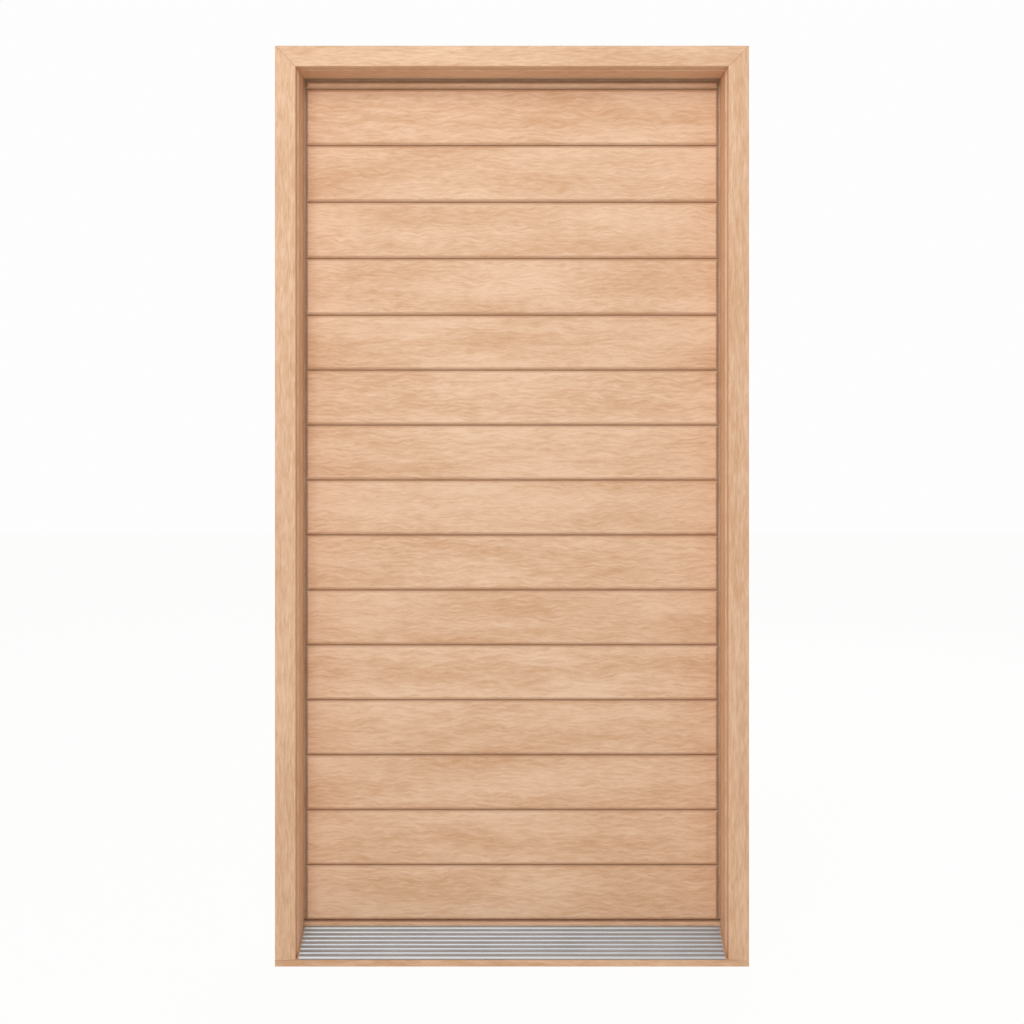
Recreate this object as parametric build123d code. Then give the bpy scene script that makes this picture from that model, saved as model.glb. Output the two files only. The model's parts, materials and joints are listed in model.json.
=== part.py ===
from build123d import *
import math
import os

os.makedirs("parts", exist_ok=True)

# Frame axes: X to the right seen from outside, Y inwards, Z up.
# The origin is on the sill's underside, in the plane of the jambs' front edges.

# Door leaf
leaf_width = 1067
leaf_height = 2134
leaf_bottom = 72
plank_thickness = 15
core_thickness = 15
stile_width = 11.5
stile_setback = 8
top_rail_height = 13

# Planks
top_strip_height = 19
upper_plank_pitch = 143
upper_plank_count = 4
lower_plank_count = 11
plank_bevel_width = 7
plank_bevel_depth = 5
plank_joint = 1.5
tongue_thickness = 4
tongue_entry = 5.5
tongue_clearance = 0.3

# Jambs and their rabbet
side_gap = 6
head_gap = 5
stop_gap = 6
stop_depth = 73
stop_projection = 14
jamb_thickness = 19

# Casing
casing_width = 50
casing_thickness = 25
casing_band = 16
casing_fall = 1.5
reveal = 4

# Sill, threshold and cap
sill_gap = 5
cap_thickness = 10
cap_setback = 4
nose_height = 15
nose_land = 4
deck_base = 2
deck_end_gap = 3.5
deck_back_gap = 0.3
flute_count = 8
flute_height = 3
flute_radius = 5

# Weatherstrip and its kerf
kerf_width = 3
kerf_depth = 10
kerf_inset = 5
strip_thickness = 8
strip_width = 10
strip_inset = 2
strip_clearance = 0.3

# Butt hinges
hinge_height = 100
hinge_top_drop = 178
hinge_bottom_rise = 279
hinge_plate = 2.5
hinge_plate_depth = 30
hinge_corner = 6
mortise_clearance = 0.2
knuckle_radius = 6.5
knuckle_count = 5
knuckle_gap = 0.3
knuckle_relief = 0.6
pin_radius = 3.2
pin_clearance = 0.05
pin_cap_radius = 5
pin_cap_height = 4

# Leaf depths, from the front
plank_front = stop_depth + stop_gap
core_front = plank_front + plank_thickness
core_back = core_front + core_thickness
leaf_back = core_back + plank_thickness
stile_front = plank_front + stile_setback
plank_shoulder = plank_front + plank_bevel_depth
leaf_middle = (plank_front + leaf_back) / 2

# Leaf widths and heights
leaf_half = leaf_width / 2
plank_half = leaf_half - stile_width
leaf_top = leaf_bottom + leaf_height
field_top = leaf_top - top_rail_height
lower_field = field_top - leaf_bottom - top_strip_height - upper_plank_count * upper_plank_pitch
lower_plank_pitch = lower_field / lower_plank_count

# Frame widths, heights and depths
rabbet_half = leaf_half + side_gap
stop_half = rabbet_half - stop_projection
jamb_half = rabbet_half + jamb_thickness
jamb_depth = leaf_back
rabbet_top = leaf_top + head_gap
stop_top = rabbet_top - stop_projection
frame_top = rabbet_top + jamb_thickness
casing_inner = stop_half + reveal
casing_outer = casing_inner + casing_width
casing_inner_top = stop_top + reveal
casing_outer_top = casing_inner_top + casing_width
cap_top = leaf_bottom - sill_gap
cap_bottom = cap_top - cap_thickness
cap_front = stop_depth + cap_setback
kerf_side = stop_half + kerf_inset
kerf_top = stop_top + kerf_inset
strip_side = stop_half + strip_inset
strip_top = stop_top + strip_inset

# Hinge pin line, centred on the gap beside the leaf and just clear of its inside face
pin_x = leaf_half + side_gap / 2
pin_y = leaf_back + knuckle_radius
top_hinge = leaf_top - hinge_top_drop - hinge_height
bottom_hinge = leaf_bottom + hinge_bottom_rise
hinge_bases = {
    "top": top_hinge,
    "middle": (top_hinge + bottom_hinge) / 2,
    "bottom": bottom_hinge,
}


def block(x_range, y_range, z_range):
    """A square-edged block that spans three ranges."""
    sizes = [high - low for low, high in (x_range, y_range, z_range)]
    centre = [(low + high) / 2 for low, high in (x_range, y_range, z_range)]
    return Pos(*centre) * Box(*sizes)


def save(name, shape):
    export_step(shape, f"parts/{name}.step")


def facing_rectangle(depth, half_length, z_low, z_high):
    """A rectangle that faces outdoors, at one depth."""
    plane = Plane(origin=(0, depth, (z_low + z_high) / 2), x_dir=(1, 0, 0), z_dir=(0, -1, 0))
    return plane * Rectangle(2 * half_length, z_high - z_low)


def make_plank(z_low, z_high, has_tongue, has_groove):
    """A plank with four bevelled front edges, a tongue on top and a groove below."""
    body = block((-plank_half, plank_half), (plank_shoulder, core_front), (z_low, z_high))
    shoulder = facing_rectangle(plank_shoulder, plank_half, z_low, z_high)
    bevel = plank_bevel_width
    face = facing_rectangle(plank_front, plank_half - bevel, z_low + bevel, z_high - bevel)
    body += loft([shoulder, face], ruled=True)
    middle = (plank_shoulder + core_front) / 2
    tongue_half = tongue_thickness / 2
    if has_tongue:
        reach = plank_joint + tongue_entry
        depths = (middle - tongue_half, middle + tongue_half)
        body += block((-plank_half, plank_half), depths, (z_high, z_high + reach))
    if has_groove:
        groove_half = tongue_half + tongue_clearance
        depths = (middle - groove_half, middle + groove_half)
        heights = (z_low, z_low + tongue_entry + tongue_clearance)
        body -= block((-plank_half, plank_half), depths, heights)
    return body


def plank_heights():
    """The lowest and highest level of each plank, from the top one down."""
    levels = []
    top = field_top - top_strip_height
    for number in range(upper_plank_count + lower_plank_count):
        pitch = upper_plank_pitch if number < upper_plank_count else lower_plank_pitch
        levels.append((top - pitch, top - plank_joint))
        top -= pitch
    return levels


def make_front_planks():
    """The outdoor planks by name: a narrow strip at the top, then the full ones."""
    levels = plank_heights()
    strip_low = field_top - top_strip_height
    planks = {"plank_top_strip": make_plank(strip_low, field_top, False, True)}
    for number, (z_low, z_high) in enumerate(levels, start=1):
        is_last = number == len(levels)
        planks[f"plank_{number:02d}"] = make_plank(z_low, z_high, True, not is_last)
    return planks


def knuckle_range(base, index):
    """The height range of one knuckle of a hinge."""
    length = hinge_height / knuckle_count
    low = base + index * length
    high = low + length
    if index > 0:
        low += knuckle_gap / 2
    if index < knuckle_count - 1:
        high -= knuckle_gap / 2
    return low, high


def pin_cylinder(radius, z_low, z_high):
    return Pos(pin_x, pin_y, (z_low + z_high) / 2) * Cylinder(radius, z_high - z_low)


def hinge_plate_block(x_range, base, grow):
    """The flat plate of a hinge, or its mortise when grown, with rounded far corners."""
    depths = (leaf_back - hinge_plate_depth - grow, pin_y)
    heights = (base - grow, base + hinge_height + grow)
    plate = block(x_range, depths, heights)
    far_corners = plate.edges().filter_by(Axis.X).group_by(Axis.Y)[0]
    return fillet(far_corners, hinge_corner)


def make_hinge_leaf(x_range, base, own_first):
    """One plate of a butt hinge with its own knuckles, relieved round the other plate's."""
    leaf = hinge_plate_block(x_range, base, 0)
    for index in range(knuckle_count):
        low, high = knuckle_range(base, index)
        if index % 2 != own_first:
            relief = pin_cylinder(knuckle_radius + knuckle_relief, low - knuckle_gap, high + knuckle_gap)
            leaf -= relief
    for index in range(own_first, knuckle_count, 2):
        leaf += pin_cylinder(knuckle_radius, *knuckle_range(base, index))
    return leaf - pin_cylinder(pin_radius + pin_clearance, base, base + hinge_height)


def make_hinge_pin(base):
    """A pin through all knuckles, with a rounded cap on each end."""
    top = base + hinge_height
    pin = pin_cylinder(pin_radius, base, top)
    lower_cap = pin_cylinder(pin_cap_radius, base - pin_cap_height, base)
    upper_cap = pin_cylinder(pin_cap_radius, top, top + pin_cap_height)
    ease = pin_cap_height / 2
    lower_cap = fillet(lower_cap.edges().group_by(Axis.Z)[0], ease)
    upper_cap = fillet(upper_cap.edges().group_by(Axis.Z)[-1], ease)
    return pin + lower_cap + upper_cap


def make_side_jamb(side):
    """A rabbeted side jamb with a kerf for its weatherstrip; side is -1 or 1."""
    stop = block((stop_half, jamb_half), (0, stop_depth), (0, frame_top))
    rabbet = block((rabbet_half, jamb_half), (stop_depth, jamb_depth), (0, frame_top))
    kerf_x = (kerf_side, kerf_side + kerf_width)
    kerf = block(kerf_x, (stop_depth - kerf_depth, stop_depth), (cap_top, kerf_top + kerf_width))
    jamb = stop + rabbet - kerf
    if side < 0:
        return mirror(jamb, about=Plane.YZ)
    return jamb


def make_head_jamb():
    """The rabbeted head, fitted between the side jambs."""
    stop = block((-stop_half, stop_half), (0, stop_depth), (stop_top, frame_top))
    rabbet = block((-rabbet_half, rabbet_half), (stop_depth, jamb_depth), (rabbet_top, frame_top))
    kerf_z = (kerf_top, kerf_top + kerf_width)
    kerf = block((-stop_half, stop_half), (stop_depth - kerf_depth, stop_depth), kerf_z)
    return stop + rabbet - kerf


def strip_section(plane, start):
    """The weatherstrip's section: a bulb on the stop and a tongue in the kerf."""
    bulb_points = [
        (start, stop_depth),
        (start + strip_width, stop_depth),
        (start + strip_width, stop_depth + strip_thickness / 2),
    ]
    back = Line(bulb_points[0], bulb_points[1])
    side = Line(bulb_points[1], bulb_points[2])
    crown_middle = (start + strip_width / 2, stop_depth + strip_thickness)
    low_side = (start, stop_depth + strip_thickness / 2)
    crown = ThreePointArc(bulb_points[2], crown_middle, low_side)
    closing = Line(low_side, bulb_points[0])
    bulb = make_face(Curve() + [back, side, crown, closing])
    tongue_start = start - strip_inset + kerf_inset + strip_clearance
    tongue_width = kerf_width - 2 * strip_clearance
    tongue_depth = kerf_depth - strip_clearance
    centre = (tongue_start + tongue_width / 2, stop_depth - tongue_depth / 2)
    tongue = Pos(*centre) * Rectangle(tongue_width, tongue_depth)
    return plane * (bulb + tongue)


def make_side_weatherstrip(side):
    plane = Plane(origin=(0, 0, cap_top), x_dir=(1, 0, 0), z_dir=(0, 0, 1))
    strip = extrude(strip_section(plane, strip_side), amount=kerf_top - cap_top)
    if side < 0:
        return mirror(strip, about=Plane.YZ)
    return strip


def make_head_weatherstrip():
    """The head strip ends just short of the two side jambs."""
    plane = Plane(origin=(0, 0, 0), x_dir=(0, 0, 1), z_dir=(-1, 0, 0))
    length = stop_half - strip_clearance
    return extrude(strip_section(plane, strip_top), amount=length, both=True)


def casing_points(inner, outer):
    """The casing's section: a flat outer band, then a face that falls towards the opening."""
    band_edge = outer - casing_band
    return [
        (inner, 0),
        (outer, 0),
        (outer, -casing_thickness),
        (band_edge, -casing_thickness),
        (inner, casing_fall - casing_thickness),
    ]


def mitre_plane(side):
    """The plane of a mitre, which faces the head casing."""
    return Plane(origin=(side * casing_inner, 0, casing_inner_top), z_dir=(-side, 0, 1))


def make_side_casing(side):
    """A casing leg that stands on the sill's horn and is mitred to the head."""
    points = [(side * across, depth) for across, depth in casing_points(casing_inner, casing_outer)]
    section = make_face(Polyline(*points, close=True))
    leg = extrude(Pos(0, 0, nose_height) * section, amount=casing_outer_top - nose_height, dir=(0, 0, 1))
    return split(leg, bisect_by=mitre_plane(side), keep=Keep.BOTTOM)


def make_head_casing():
    plane = Plane(origin=(0, 0, 0), x_dir=(0, 0, 1), z_dir=(-1, 0, 0))
    points = casing_points(casing_inner_top, casing_outer_top)
    section = plane * make_face(Polyline(*points, close=True))
    head = extrude(section, amount=casing_outer, both=True)
    for side in (-1, 1):
        head = split(head, bisect_by=mitre_plane(side), keep=Keep.TOP)
    return head


# Slope of the threshold, from the sill's nose up to the cap
deck_run = cap_front - deck_back_gap + casing_thickness - nose_land
deck_rise = cap_bottom - nose_height
deck_angle = math.atan2(deck_rise, deck_run)
deck_length = math.hypot(deck_run, deck_rise)


def make_sill():
    """A sloped wooden sill with a nose and horns under the casing legs."""
    slope_start = nose_land - casing_thickness
    points = [
        (-casing_thickness, 0),
        (cap_front, 0),
        (cap_front, cap_bottom),
        (cap_front - deck_back_gap, cap_bottom),
        (slope_start, nose_height),
        (-casing_thickness, nose_height),
    ]
    section = Plane.YZ * make_face(Polyline(*points, close=True))
    slope = extrude(section, amount=stop_half, both=True)
    seat = block((-rabbet_half, rabbet_half), (cap_front, jamb_depth), (0, cap_bottom))
    horns = block((-casing_outer, casing_outer), (-casing_thickness, 0), (0, nose_height))
    return slope + seat + horns


def make_threshold():
    """The metal deck on the sill's slope, with rounded flutes along it."""
    plane = Plane(
        origin=(0, nose_land - casing_thickness, nose_height),
        x_dir=(0, math.cos(deck_angle), math.sin(deck_angle)),
        z_dir=(1, 0, 0),
    )
    flute_pitch = deck_length / flute_count
    section = Pos(deck_length / 2, deck_base / 2) * Rectangle(deck_length, deck_base)
    crown = deck_base + flute_height
    ridges = Sketch()
    for number in range(flute_count):
        along = (number + 0.5) * flute_pitch
        ridges += Pos(along, crown - flute_radius) * Circle(flute_radius)
    above = Pos(deck_length / 2, crown / 2) * Rectangle(deck_length, crown)
    section += ridges & above
    deck = extrude(plane * section, amount=stop_half - deck_end_gap, both=True)
    behind_cap = block(
        (-rabbet_half, rabbet_half),
        (cap_front - deck_back_gap, jamb_depth),
        (0, cap_top + crown),
    )
    return deck - behind_cap


def make_threshold_cap():
    return block((-rabbet_half, rabbet_half), (cap_front, jamb_depth), (cap_bottom, cap_top))


# Fixed wooden frame and threshold
hinge_jamb = make_side_jamb(1)
latch_jamb = make_side_jamb(-1)
hinge_stile = block((plank_half, leaf_half), (stile_front, leaf_back), (leaf_bottom, leaf_top))
latch_stile = mirror(hinge_stile, about=Plane.YZ)
jamb_plate_x = (rabbet_half, rabbet_half + hinge_plate)
leaf_plate_x = (leaf_half - hinge_plate, leaf_half)

# Hinges, let into the stile and the jamb
for place, base in hinge_bases.items():
    hinge_jamb -= hinge_plate_block(jamb_plate_x, base, mortise_clearance)
    hinge_stile -= hinge_plate_block(leaf_plate_x, base, mortise_clearance)
    save(f"hinge_{place}_jamb_plate", make_hinge_leaf(jamb_plate_x, base, 0))
    save(f"hinge_{place}_leaf_plate", make_hinge_leaf(leaf_plate_x, base, 1))
    save(f"hinge_{place}_pin", make_hinge_pin(base))

save("sill", make_sill())
save("threshold", make_threshold())
save("threshold_cap", make_threshold_cap())
save("hinge_jamb", hinge_jamb)
save("latch_jamb", latch_jamb)
save("head_jamb", make_head_jamb())
save("casing_right", make_side_casing(1))
save("casing_left", make_side_casing(-1))
save("casing_head", make_head_casing())
save("weatherstrip_hinge", make_side_weatherstrip(1))
save("weatherstrip_latch", make_side_weatherstrip(-1))
save("weatherstrip_head", make_head_weatherstrip())

# Door leaf: planks on both faces of a core, lipped by stiles and a top rail
front_planks = make_front_planks()
for name, solid in front_planks.items():
    save(name, solid)
middle_plane = Plane(origin=(0, leaf_middle, 0), x_dir=(1, 0, 0), z_dir=(0, 1, 0))
inside_planks = [mirror(solid, about=middle_plane) for solid in front_planks.values()]
save("inside_planks", Compound(children=inside_planks))
save("leaf_core", block((-plank_half, plank_half), (core_front, core_back), (leaf_bottom, field_top)))
save("hinge_stile", hinge_stile)
save("latch_stile", latch_stile)
save("top_rail", block((-plank_half, plank_half), (stile_front, leaf_back), (field_top, leaf_top)))
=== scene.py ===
import bmesh
import bpy
import json
import math
import random
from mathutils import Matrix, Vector


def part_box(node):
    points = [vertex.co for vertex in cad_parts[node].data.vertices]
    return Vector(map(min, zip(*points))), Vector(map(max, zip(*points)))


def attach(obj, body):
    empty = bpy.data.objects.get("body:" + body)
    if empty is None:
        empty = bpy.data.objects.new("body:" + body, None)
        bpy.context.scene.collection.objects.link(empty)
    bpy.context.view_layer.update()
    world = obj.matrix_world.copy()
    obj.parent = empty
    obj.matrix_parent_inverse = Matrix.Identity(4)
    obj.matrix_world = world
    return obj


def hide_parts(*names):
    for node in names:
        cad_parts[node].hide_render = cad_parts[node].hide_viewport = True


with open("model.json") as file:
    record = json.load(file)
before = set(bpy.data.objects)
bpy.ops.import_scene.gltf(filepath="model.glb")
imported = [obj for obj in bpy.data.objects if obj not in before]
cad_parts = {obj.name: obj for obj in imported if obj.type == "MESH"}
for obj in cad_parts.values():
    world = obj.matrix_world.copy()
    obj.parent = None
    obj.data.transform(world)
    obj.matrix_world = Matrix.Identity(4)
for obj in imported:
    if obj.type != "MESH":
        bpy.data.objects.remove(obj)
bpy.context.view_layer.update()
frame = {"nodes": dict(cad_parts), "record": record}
scene = bpy.context.scene

# Camera, fitted to the photograph's frame
IMAGE_SIZE = 1024
FOCAL_PIXELS = 1248
HORIZON_PIXEL = 422.4
CAMERA_DISTANCE = 3.05
CAMERA_HEIGHT = 1.33
SENSOR_WIDTH = 36

# Studio light
BACKDROP_WHITE = 0.985
FILL_LEVEL = 0.5
KEY_POWER = 90
SOFTBOX_SIZE = 2.6
KEY_PLACE = (-0.6, -3.5, 3.2)
KEY_TARGET = (-0.1, 0, 1.65)
BACK_POWER = 70
BACK_PLACE = (1.6, 4.2, 3)
BACK_TARGET = (0, 0.1, 1.1)
FLOOR_SIZE = 24
FLOOR_COLOUR = (0.9, 0.9, 0.89, 1)
FLOOR_GLOW_SHARE = 0.95
FLOOR_GLOW = (1, 1, 0.995, 1)

# Timber colours, linear
PLANK_PALE = (0.85, 0.59, 0.405, 1)
PLANK_DEEP = (0.62, 0.345, 0.185, 1)
FRAME_PALE = (0.83, 0.565, 0.375, 1)
FRAME_DEEP = (0.6, 0.335, 0.18, 1)
# Painted shade for the plank bevels: the brown they are darkened towards, and its share
PAINTED_SHADE_BROWN = (0.36, 0.19, 0.1, 1)
PAINTED_SHADE_SHARE = 0.6

# Small sizes, metres
MERGE_DISTANCE = 0.00001
PLANK_ARRIS = 0.0007
FRAME_ARRIS = 0.0012
JAMB_ARRIS = 0.0024
BEVEL_START = 0.001
SCREW_RADIUS = 0.004
SCREW_DEPTH = 0.0016
SCREW_PROUD = 0.0003
SCREW_SLOT = 0.001
SCREW_INSETS = (0.010, 0.021, 0.021, 0.010)
SCREW_HEIGHTS = (0.12, 0.38, 0.62, 0.88)

BODY_OF = {}
for body_name, members in frame["record"]["behaviour"]["bodies"].items():
    for member in members:
        BODY_OF[member] = body_name
HINGE_PLACES = ("top", "middle", "bottom")
draw = random.Random(11)


# Shader building

def add_node(tree, kind, **settings):
    node = tree.nodes.new(kind)
    for name, value in settings.items():
        setattr(node, name, value)
    return node


def math_node(tree, operation, first, second):
    """A math node whose two inputs are sockets or numbers."""
    node = add_node(tree, "ShaderNodeMath", operation=operation)
    for socket, value in zip(node.inputs, (first, second)):
        if isinstance(value, (int, float)):
            socket.default_value = value
        else:
            tree.links.new(value, socket)
    return node.outputs[0]


def vector_node(tree, operation, first, second):
    """A vector math node whose two inputs are sockets or triples."""
    node = add_node(tree, "ShaderNodeVectorMath", operation=operation)
    for socket, value in zip(node.inputs, (first, second)):
        if isinstance(value, tuple):
            socket.default_value = value
        else:
            tree.links.new(value, socket)
    return node.outputs[0]


def noise_value(tree, place, stretch, detail, roughness):
    """Stretched noise, as a signed value about zero."""
    noise = add_node(tree, "ShaderNodeTexNoise")
    noise.inputs["Scale"].default_value = 1
    noise.inputs["Detail"].default_value = detail
    noise.inputs["Roughness"].default_value = roughness
    tree.links.new(vector_node(tree, "MULTIPLY", place, stretch), noise.inputs["Vector"])
    return math_node(tree, "SUBTRACT", noise.outputs["Fac"], 0.5)


def colour_mix(tree, factor, first, second):
    """A colour blend; each colour is a socket or a value."""
    node = add_node(tree, "ShaderNodeMix", data_type="RGBA")
    tree.links.new(factor, node.inputs[0])
    for socket, value in zip((node.inputs[6], node.inputs[7]), (first, second)):
        if isinstance(value, tuple):
            socket.default_value = value
        else:
            tree.links.new(value, socket)
    return node.outputs[2]


def range_node(tree, value, low, high):
    """A smooth step from 0 at low to 1 at high."""
    node = add_node(tree, "ShaderNodeMapRange", interpolation_type="SMOOTHSTEP")
    node.inputs["From Min"].default_value = low
    node.inputs["From Max"].default_value = high
    tree.links.new(value, node.inputs["Value"])
    return node.outputs["Result"]


def new_group(name, inputs, outputs):
    group = bpy.data.node_groups.new(name, "ShaderNodeTree")
    for label, kind in inputs:
        group.interface.new_socket(name=label, in_out="INPUT", socket_type=kind)
    for label, kind in outputs:
        group.interface.new_socket(name=label, in_out="OUTPUT", socket_type=kind)
    entry = group.nodes.new("NodeGroupInput")
    leave = group.nodes.new("NodeGroupOutput")
    return group, entry, leave


def timber_grain_group():
    """Wavy grain along X: broad tonal patches, ripple lines, fine fibres and dark flecks."""
    inputs = [
        ("Place", "NodeSocketVector"),
        ("Pale", "NodeSocketColor"),
        ("Deep", "NodeSocketColor"),
        ("Ripple", "NodeSocketFloat"),
        ("Patches", "NodeSocketFloat"),
        ("Lines", "NodeSocketFloat"),
    ]
    outputs = [
        ("Color", "NodeSocketColor"),
        ("Height", "NodeSocketFloat"),
        ("Roughness", "NodeSocketFloat"),
    ]
    group, entry, leave = new_group("timber_grain", inputs, outputs)
    place = entry.outputs["Place"]
    swell = noise_value(group, place, (12, 18, 18), 2, 0.5)
    jitter = noise_value(group, place, (45, 60, 60), 2, 0.5)
    wander = math_node(group, "ADD", swell, math_node(group, "MULTIPLY", jitter, 0.22))
    lift = math_node(group, "MULTIPLY", wander, entry.outputs["Ripple"])
    bend = add_node(group, "ShaderNodeCombineXYZ")
    group.links.new(lift, bend.inputs["Z"])
    bent = vector_node(group, "ADD", place, bend.outputs[0])
    patches = noise_value(group, bent, (2.4, 15, 15), 3, 0.55)
    lines = noise_value(group, bent, (24, 190, 190), 3, 0.6)
    fibres = noise_value(group, bent, (60, 520, 520), 2, 0.6)
    tone = math_node(group, "MULTIPLY", patches, entry.outputs["Patches"])
    tone = math_node(group, "ADD", tone, math_node(group, "MULTIPLY", lines, entry.outputs["Lines"]))
    tone = math_node(group, "ADD", tone, math_node(group, "MULTIPLY", fibres, 0.55))
    tone = math_node(group, "ADD", tone, 0.55)
    tone_clamped = range_node(group, tone, -0.15, 1.15)
    flecks = noise_value(group, bent, (75, 330, 330), 1, 0.5)
    fleck_mask = range_node(group, flecks, 0.2, 0.32)
    fleck_share = math_node(group, "MULTIPLY", fleck_mask, 0.55)
    timber = colour_mix(group, tone_clamped, entry.outputs["Deep"], entry.outputs["Pale"])
    flecked = colour_mix(group, fleck_share, timber, entry.outputs["Deep"])
    group.links.new(flecked, leave.inputs["Color"])
    relief = math_node(group, "ADD", lines, math_node(group, "MULTIPLY", fibres, 0.6))
    relief = math_node(group, "SUBTRACT", relief, math_node(group, "MULTIPLY", fleck_mask, 0.4))
    group.links.new(relief, leave.inputs["Height"])
    dull = math_node(group, "MULTIPLY", tone_clamped, -0.14)
    group.links.new(math_node(group, "ADD", dull, 0.66), leave.inputs["Roughness"])
    return group


def brushed_group():
    """Fine drawn lines along X, with faint smudges."""
    inputs = [("Place", "NodeSocketVector"), ("Bright", "NodeSocketColor"), ("Dull", "NodeSocketColor")]
    outputs = [
        ("Color", "NodeSocketColor"),
        ("Height", "NodeSocketFloat"),
        ("Roughness", "NodeSocketFloat"),
    ]
    group, entry, leave = new_group("drawn_metal", inputs, outputs)
    place = entry.outputs["Place"]
    lines = noise_value(group, place, (6, 900, 900), 3, 0.6)
    smudge = noise_value(group, place, (9, 25, 25), 4, 0.6)
    tone = math_node(group, "ADD", math_node(group, "MULTIPLY", lines, 1.2), smudge)
    tone = math_node(group, "ADD", tone, 0.5)
    group.links.new(colour_mix(group, tone, entry.outputs["Dull"], entry.outputs["Bright"]), leave.inputs["Color"])
    group.links.new(lines, leave.inputs["Height"])
    rough = math_node(group, "ADD", math_node(group, "MULTIPLY", smudge, 0.25), 0.44)
    group.links.new(rough, leave.inputs["Roughness"])
    return group


TIMBER_GRAIN = timber_grain_group()
DRAWN_METAL = brushed_group()


def start_material(name):
    """A material with its Principled shader and the object's own coordinates."""
    material = bpy.data.materials.new(name)
    material.use_nodes = True
    tree = material.node_tree
    shader = tree.nodes["Principled BSDF"]
    coordinates = add_node(tree, "ShaderNodeTexCoord").outputs["Object"]
    return material, tree, shader, coordinates


def add_bump(tree, shader, height, distance, strength):
    bump = add_node(tree, "ShaderNodeBump")
    bump.inputs["Distance"].default_value = distance
    bump.inputs["Strength"].default_value = strength
    tree.links.new(height, bump.inputs["Height"])
    tree.links.new(bump.outputs["Normal"], shader.inputs["Normal"])


def timber_material(name, turn, pale, deep, ripple, patches, lines):
    """Bare timber whose figure is shifted and toned for each board, with painted shade darkening its bevels down
    into a joint.
    """
    material, tree, shader, coordinates = start_material(name)
    mapping = add_node(tree, "ShaderNodeMapping")
    mapping.inputs["Rotation"].default_value = (0, turn, 0)
    tree.links.new(coordinates, mapping.inputs["Vector"])
    shift = add_node(tree, "ShaderNodeAttribute", attribute_name="board_shift")
    place = vector_node(tree, "ADD", mapping.outputs["Vector"], shift.outputs["Vector"])
    grain = add_node(tree, "ShaderNodeGroup", node_tree=TIMBER_GRAIN)
    tree.links.new(place, grain.inputs["Place"])
    grain.inputs["Pale"].default_value = pale
    grain.inputs["Deep"].default_value = deep
    grain.inputs["Ripple"].default_value = ripple
    grain.inputs["Patches"].default_value = patches
    grain.inputs["Lines"].default_value = lines
    tone = add_node(tree, "ShaderNodeAttribute", attribute_name="board_tone")
    colour = colour_mix(tree, tone.outputs["Fac"], grain.outputs["Color"], deep)
    # Painted shade: the bevels below a plank's face are mixed towards brown
    painted_shade = add_node(tree, "ShaderNodeAttribute", attribute_name="painted_joint_shade")
    share = math_node(tree, "MULTIPLY", painted_shade.outputs["Fac"], PAINTED_SHADE_SHARE)
    colour = colour_mix(tree, share, colour, PAINTED_SHADE_BROWN)
    tree.links.new(colour, shader.inputs["Base Color"])
    tree.links.new(grain.outputs["Roughness"], shader.inputs["Roughness"])
    shader.inputs["Specular IOR Level"].default_value = 0.35
    add_bump(tree, shader, grain.outputs["Height"], 0.0005, 0.4)
    return material


def metal_material(name, bright, dull, metallic, bump_distance):
    material, tree, shader, coordinates = start_material(name)
    metal = add_node(tree, "ShaderNodeGroup", node_tree=DRAWN_METAL)
    tree.links.new(coordinates, metal.inputs["Place"])
    metal.inputs["Bright"].default_value = bright
    metal.inputs["Dull"].default_value = dull
    tree.links.new(metal.outputs["Color"], shader.inputs["Base Color"])
    tree.links.new(metal.outputs["Roughness"], shader.inputs["Roughness"])
    shader.inputs["Metallic"].default_value = metallic
    add_bump(tree, shader, metal.outputs["Height"], bump_distance, 0.4)
    return material


def weatherstrip_material():
    """Brown vinyl skin over foam, with a fine pebbled surface."""
    material, tree, shader, coordinates = start_material("weatherstrip_vinyl")
    pebble = noise_value(tree, coordinates, (900, 900, 900), 2, 0.5)
    wear = noise_value(tree, coordinates, (20, 20, 6), 3, 0.5)
    share = math_node(tree, "ADD", wear, 0.5)
    colour = colour_mix(tree, share, (0.17, 0.085, 0.04, 1), (0.27, 0.145, 0.075, 1))
    tree.links.new(colour, shader.inputs["Base Color"])
    rough = math_node(tree, "ADD", math_node(tree, "MULTIPLY", wear, 0.2), 0.62)
    tree.links.new(rough, shader.inputs["Roughness"])
    add_bump(tree, shader, pebble, 0.0002, 0.4)
    return material


QUARTER_TURN = math.pi / 2
PLANK_TIMBER = timber_material("plank_timber", 0, PLANK_PALE, PLANK_DEEP, 0.03, 1.5, 1.4)
LEVEL_TIMBER = timber_material("level_frame_timber", 0, FRAME_PALE, FRAME_DEEP, 0.012, 1.2, 1.5)
UPRIGHT_TIMBER = timber_material(
    "upright_frame_timber", QUARTER_TURN, FRAME_PALE, FRAME_DEEP, 0.006, 1.1, 1.8
)
THRESHOLD_METAL = metal_material("threshold_aluminium", (0.52, 0.53, 0.54, 1), (0.36, 0.37, 0.38, 1), 0.6, 0.0002)
HINGE_METAL = metal_material("hinge_steel", (0.66, 0.65, 0.63, 1), (0.48, 0.47, 0.45, 1), 1, 0.0001)
WEATHERSTRIP_VINYL = weatherstrip_material()


# Pieces made from the solids

def clean_mesh(node, name):
    """A copy of a node's mesh, with its loose triangles joined into whole faces."""
    shape = bmesh.new()
    shape.from_mesh(frame["nodes"][node].data)
    bmesh.ops.remove_doubles(shape, verts=shape.verts, dist=MERGE_DISTANCE)
    bmesh.ops.dissolve_limit(
        shape, angle_limit=math.radians(0.5), verts=shape.verts, edges=shape.edges
    )
    mesh = bpy.data.meshes.new(name)
    shape.to_mesh(mesh)
    shape.free()
    return mesh


def place_piece(mesh, name, material, node):
    """Puts a finished piece in the scene in place of its node."""
    piece = bpy.data.objects.new(name, mesh)
    scene.collection.objects.link(piece)
    mesh.materials.clear()
    mesh.materials.append(material)
    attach(piece, BODY_OF[node])
    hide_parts(node)
    return piece


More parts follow.
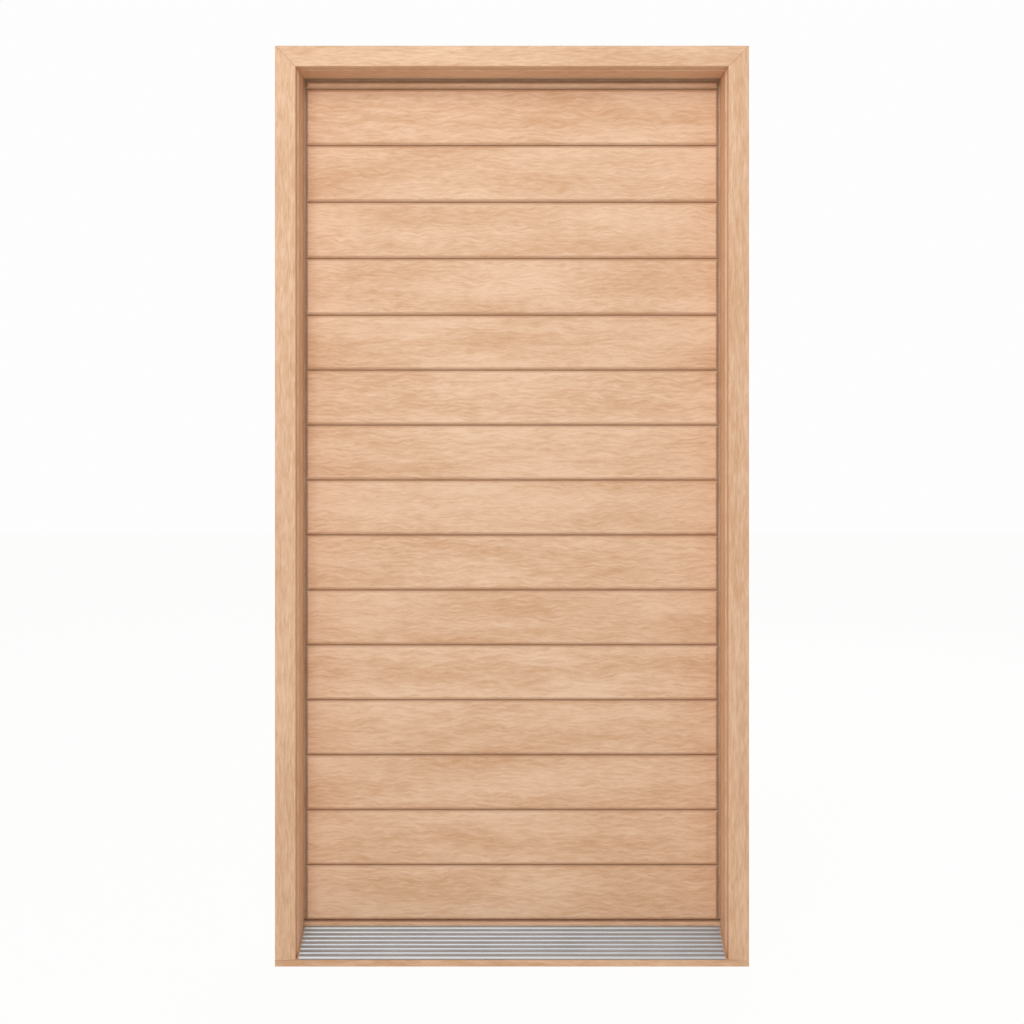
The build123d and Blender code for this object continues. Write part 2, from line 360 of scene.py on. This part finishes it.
def ease_edges(piece, width, angle):
    """Takes the sharp arrises off a piece."""
    bevel = piece.modifiers.new("eased_edges", "BEVEL")
    bevel.width = width
    bevel.segments = 2
    bevel.limit_method = "ANGLE"
    bevel.angle_limit = math.radians(angle)


def mark_board(mesh, board_of):
    """Gives every vertex the figure's shift and the tone of its own board."""
    boards = {}
    shifts = []
    tones = []
    for vertex in mesh.vertices:
        board = board_of(vertex.co)
        if board not in boards:
            boards[board] = ([draw.uniform(-9, 9) for _ in range(3)], draw.uniform(0, 0.14))
        shifts.extend(boards[board][0])
        tones.append(boards[board][1])
    mesh.attributes.new("board_shift", "FLOAT_VECTOR", "POINT").data.foreach_set("vector", shifts)
    mesh.attributes.new("board_tone", "FLOAT", "POINT").data.foreach_set("value", tones)


def mark_painted_joint_shade(mesh, face_depth):
    """Marks what lies below a plank's face, where painted shade darkens its bevels down into the joints."""
    shade_marks = [float(abs(vertex.co.y - face_depth) > BEVEL_START) for vertex in mesh.vertices]
    mesh.attributes.new("painted_joint_shade", "FLOAT", "POINT").data.foreach_set("value", shade_marks)


def make_board(node, material, arris):
    """A timber piece with eased arrises and its own figure."""
    mesh = clean_mesh(node, f"timber_{node}")
    mark_board(mesh, lambda point: 0)
    piece = place_piece(mesh, f"timber_{node}", material, node)
    ease_edges(piece, arris, 25)
    return piece


def smooth_copy(node, material, prefix, angle):
    """A metal or rubber piece whose round faces are shaded smooth."""
    mesh = clean_mesh(node, f"{prefix}_{node}")
    mesh.polygons.foreach_set("use_smooth", [True] * len(mesh.polygons))
    mesh.set_sharp_from_angle(angle=math.radians(angle))
    return place_piece(mesh, f"{prefix}_{node}", material, node)


def make_planks():
    """The outdoor planks one by one, and the inside skin with a figure for each plank."""
    outdoor = sorted(node for node in BODY_OF if node.startswith("plank_"))
    for node in outdoor:
        plank = make_board(node, PLANK_TIMBER, PLANK_ARRIS)
        # Painted shade on the bevels below each plank's face
        mark_painted_joint_shade(plank.data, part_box(node)[0].y)
    levels = sorted(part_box(node)[0].z for node in outdoor)
    mesh = clean_mesh("inside_planks", "timber_inside_planks")
    ledge = 2 * MERGE_DISTANCE
    mark_board(mesh, lambda point: sum(level <= point.z + ledge for level in levels))
    mark_painted_joint_shade(mesh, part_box("inside_planks")[1].y)
    piece = place_piece(mesh, "timber_inside_planks", PLANK_TIMBER, "inside_planks")
    ease_edges(piece, PLANK_ARRIS, 25)


def make_frame_timber():
    level = ("casing_head", "sill", "threshold_cap", "top_rail", "leaf_core")
    upright = ("casing_left", "casing_right", "hinge_stile", "latch_stile")
    for node in level:
        make_board(node, LEVEL_TIMBER, FRAME_ARRIS)
    for node in upright:
        make_board(node, UPRIGHT_TIMBER, FRAME_ARRIS)
    make_board("head_jamb", LEVEL_TIMBER, JAMB_ARRIS)
    for node in ("hinge_jamb", "latch_jamb"):
        make_board(node, UPRIGHT_TIMBER, JAMB_ARRIS)


def make_metal_and_rubber():
    smooth_copy("threshold", THRESHOLD_METAL, "metal", 40)
    for side in ("hinge", "latch", "head"):
        smooth_copy(f"weatherstrip_{side}", WEATHERSTRIP_VINYL, "vinyl", 40)
    for place in HINGE_PLACES:
        for part in ("jamb_plate", "leaf_plate", "pin"):
            smooth_copy(f"hinge_{place}_{part}", HINGE_METAL, "metal", 35)


# Hinge screws

def add_box(tree, size_x, size_y, size_z):
    box = add_node(tree, "GeometryNodeMeshCube")
    size = add_node(tree, "ShaderNodeCombineXYZ")
    for socket, value in zip(size.inputs, (size_x, size_y, size_z)):
        tree.links.new(value, socket)
    tree.links.new(size.outputs[0], box.inputs["Size"])
    raised = add_node(tree, "GeometryNodeTransform")
    tree.links.new(box.outputs["Mesh"], raised.inputs["Geometry"])
    lift = add_node(tree, "ShaderNodeCombineXYZ")
    tree.links.new(math_node(tree, "MULTIPLY", size_z, 0.5), lift.inputs["Z"])
    tree.links.new(lift.outputs[0], raised.inputs["Translation"])
    return raised.outputs["Geometry"]


def screw_tree():
    """Cross-slotted flat heads, one on each point, turned to face out of the plate."""
    tree = bpy.data.node_groups.new("hinge_screw_heads", "GeometryNodeTree")
    for label, kind in (
        ("Points", "NodeSocketGeometry"),
        ("Head Radius", "NodeSocketFloat"),
        ("Head Depth", "NodeSocketFloat"),
        ("Slot Width", "NodeSocketFloat"),
        ("Facing", "NodeSocketVector"),
        ("Finish", "NodeSocketMaterial"),
    ):
        tree.interface.new_socket(name=label, in_out="INPUT", socket_type=kind)
    tree.interface.new_socket(name="Screws", in_out="OUTPUT", socket_type="NodeSocketGeometry")
    entry = tree.nodes.new("NodeGroupInput")
    leave = tree.nodes.new("NodeGroupOutput")
    head = add_node(tree, "GeometryNodeMeshCylinder")
    head.inputs["Vertices"].default_value = 24
    tree.links.new(entry.outputs["Head Radius"], head.inputs["Radius"])
    tree.links.new(entry.outputs["Head Depth"], head.inputs["Depth"])
    length = math_node(tree, "MULTIPLY", entry.outputs["Head Radius"], 1.2)
    width = entry.outputs["Slot Width"]
    depth = entry.outputs["Head Depth"]
    cross = add_node(tree, "GeometryNodeMeshBoolean", operation="DIFFERENCE")
    tree.links.new(head.outputs["Mesh"], cross.inputs["Mesh 1"])
    tree.links.new(add_box(tree, length, width, depth), cross.inputs["Mesh 2"])
    tree.links.new(add_box(tree, width, length, depth), cross.inputs["Mesh 2"])
    copies = add_node(tree, "GeometryNodeInstanceOnPoints")
    tree.links.new(entry.outputs["Points"], copies.inputs["Points"])
    tree.links.new(cross.outputs["Mesh"], copies.inputs["Instance"])
    tree.links.new(entry.outputs["Facing"], copies.inputs["Rotation"])
    solid = add_node(tree, "GeometryNodeRealizeInstances")
    tree.links.new(copies.outputs["Instances"], solid.inputs["Geometry"])
    finish = add_node(tree, "GeometryNodeSetMaterial")
    tree.links.new(solid.outputs["Geometry"], finish.inputs["Geometry"])
    tree.links.new(entry.outputs["Finish"], finish.inputs["Material"])
    tree.links.new(finish.outputs["Geometry"], leave.inputs["Screws"])
    return tree


def screw_points(part, facing):
    """Where the screws sit on the bare face of each hinge plate of one kind."""
    points = []
    face_node = "hinge_stile" if facing > 0 else "threshold_cap"
    plate_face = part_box(face_node)[1].x
    sunk = plate_face + facing * (SCREW_PROUD - SCREW_DEPTH / 2)
    wood_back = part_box("hinge_stile")[1].y
    for place in HINGE_PLACES:
        low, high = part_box(f"hinge_{place}_{part}")
        for inset, share in zip(SCREW_INSETS, SCREW_HEIGHTS):
            height = low.z + share * (high.z - low.z)
            points.append((sunk, wood_back - inset, height))
    return points


def make_screws(tree, part, body, facing):
    """The screw heads of one body, as one plain mesh."""
    name = f"{body}_hinge_screws"
    carrier_mesh = bpy.data.meshes.new(f"{name}_places")
    carrier_mesh.from_pydata(screw_points(part, facing), [], [])
    carrier = bpy.data.objects.new(f"{name}_places", carrier_mesh)
    scene.collection.objects.link(carrier)
    modifier = carrier.modifiers.new("screws", "NODES")
    modifier.node_group = tree
    values = {
        "Head Radius": SCREW_RADIUS,
        "Head Depth": SCREW_DEPTH,
        "Slot Width": SCREW_SLOT,
        "Facing": (0, facing * QUARTER_TURN, 0),
        "Finish": HINGE_METAL,
    }
    for item in tree.interface.items_tree:
        if item.in_out == "INPUT" and item.name in values:
            modifier[item.identifier] = values[item.name]
    graph = bpy.context.evaluated_depsgraph_get()
    mesh = bpy.data.meshes.new_from_object(carrier.evaluated_get(graph), depsgraph=graph)
    bpy.data.objects.remove(carrier)
    screws = bpy.data.objects.new(name, mesh)
    scene.collection.objects.link(screws)
    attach(screws, body)


def make_hinge_screws():
    tree = screw_tree()
    make_screws(tree, "leaf_plate", "leaf", 1)
    make_screws(tree, "jamb_plate", "frame", -1)


# Studio

def seen_ray(tree):
    """1 for rays from the camera, and for mirrored or transmitted ones."""
    light_path = add_node(tree, "ShaderNodeLightPath")
    seen = math_node(
        tree, "MAXIMUM", light_path.outputs["Is Camera Ray"], light_path.outputs["Is Glossy Ray"]
    )
    return math_node(tree, "MAXIMUM", seen, light_path.outputs["Is Transmission Ray"])


def make_world():
    """Soft fill on the object, with a white background for what is seen directly."""
    world = bpy.data.worlds.new("studio")
    world.use_nodes = True
    scene.world = world
    tree = world.node_tree
    fill = (FILL_LEVEL, FILL_LEVEL, FILL_LEVEL, 1)
    white = (BACKDROP_WHITE, BACKDROP_WHITE, BACKDROP_WHITE, 1)
    colour = colour_mix(tree, seen_ray(tree), fill, white)
    tree.links.new(colour, tree.nodes["Background"].inputs["Color"])


def floor_material():
    """A pale floor that glows to white for the camera and keeps a faint shadow."""
    material = bpy.data.materials.new("pale_floor")
    material.use_nodes = True
    tree = material.node_tree
    shader = tree.nodes["Principled BSDF"]
    shader.inputs["Base Color"].default_value = FLOOR_COLOUR
    shader.inputs["Roughness"].default_value = 0.9
    glow = add_node(tree, "ShaderNodeEmission")
    glow.inputs["Color"].default_value = FLOOR_GLOW
    blend = add_node(tree, "ShaderNodeMixShader")
    share = math_node(tree, "MULTIPLY", seen_ray(tree), FLOOR_GLOW_SHARE)
    tree.links.new(share, blend.inputs[0])
    tree.links.new(shader.outputs[0], blend.inputs[1])
    tree.links.new(glow.outputs[0], blend.inputs[2])
    tree.links.new(blend.outputs[0], tree.nodes["Material Output"].inputs["Surface"])
    return material


def make_floor():
    half = FLOOR_SIZE / 2
    corners = [(-half, -half, 0), (half, -half, 0), (half, half, 0), (-half, half, 0)]
    mesh = bpy.data.meshes.new("floor")
    mesh.from_pydata(corners, [], [(0, 1, 2, 3)])
    mesh.materials.append(floor_material())
    floor = bpy.data.objects.new("floor", mesh)
    scene.collection.objects.link(floor)


def aim(thing, target):
    direction = Vector(target) - thing.location
    thing.rotation_euler = direction.to_track_quat("-Z", "Y").to_euler()


def make_softbox(name, power, place, target):
    lamp = bpy.data.lights.new(name, "AREA")
    lamp.energy = power
    lamp.size = SOFTBOX_SIZE
    softbox = bpy.data.objects.new(name, lamp)
    softbox.location = place
    aim(softbox, target)
    scene.collection.objects.link(softbox)


def make_camera():
    """A level camera in front of the door, with the frame shifted down to hold it."""
    camera_data = bpy.data.cameras.new("photo_camera")
    camera_data.sensor_width = SENSOR_WIDTH
    camera_data.lens = SENSOR_WIDTH * FOCAL_PIXELS / IMAGE_SIZE
    camera_data.shift_y = (HORIZON_PIXEL - IMAGE_SIZE / 2) / IMAGE_SIZE
    camera = bpy.data.objects.new("photo_camera", camera_data)
    casing_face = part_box("casing_head")[0].y
    camera.location = (0, casing_face - CAMERA_DISTANCE, CAMERA_HEIGHT)
    camera.rotation_euler = (QUARTER_TURN, 0, 0)
    scene.collection.objects.link(camera)
    scene.camera = camera


make_planks()
make_frame_timber()
make_metal_and_rubber()
make_hinge_screws()
make_world()
make_floor()
make_softbox("key_softbox", KEY_POWER, KEY_PLACE, KEY_TARGET)
make_softbox("back_softbox", BACK_POWER, BACK_PLACE, BACK_TARGET)
make_camera()
scene.view_settings.view_transform = "Standard"
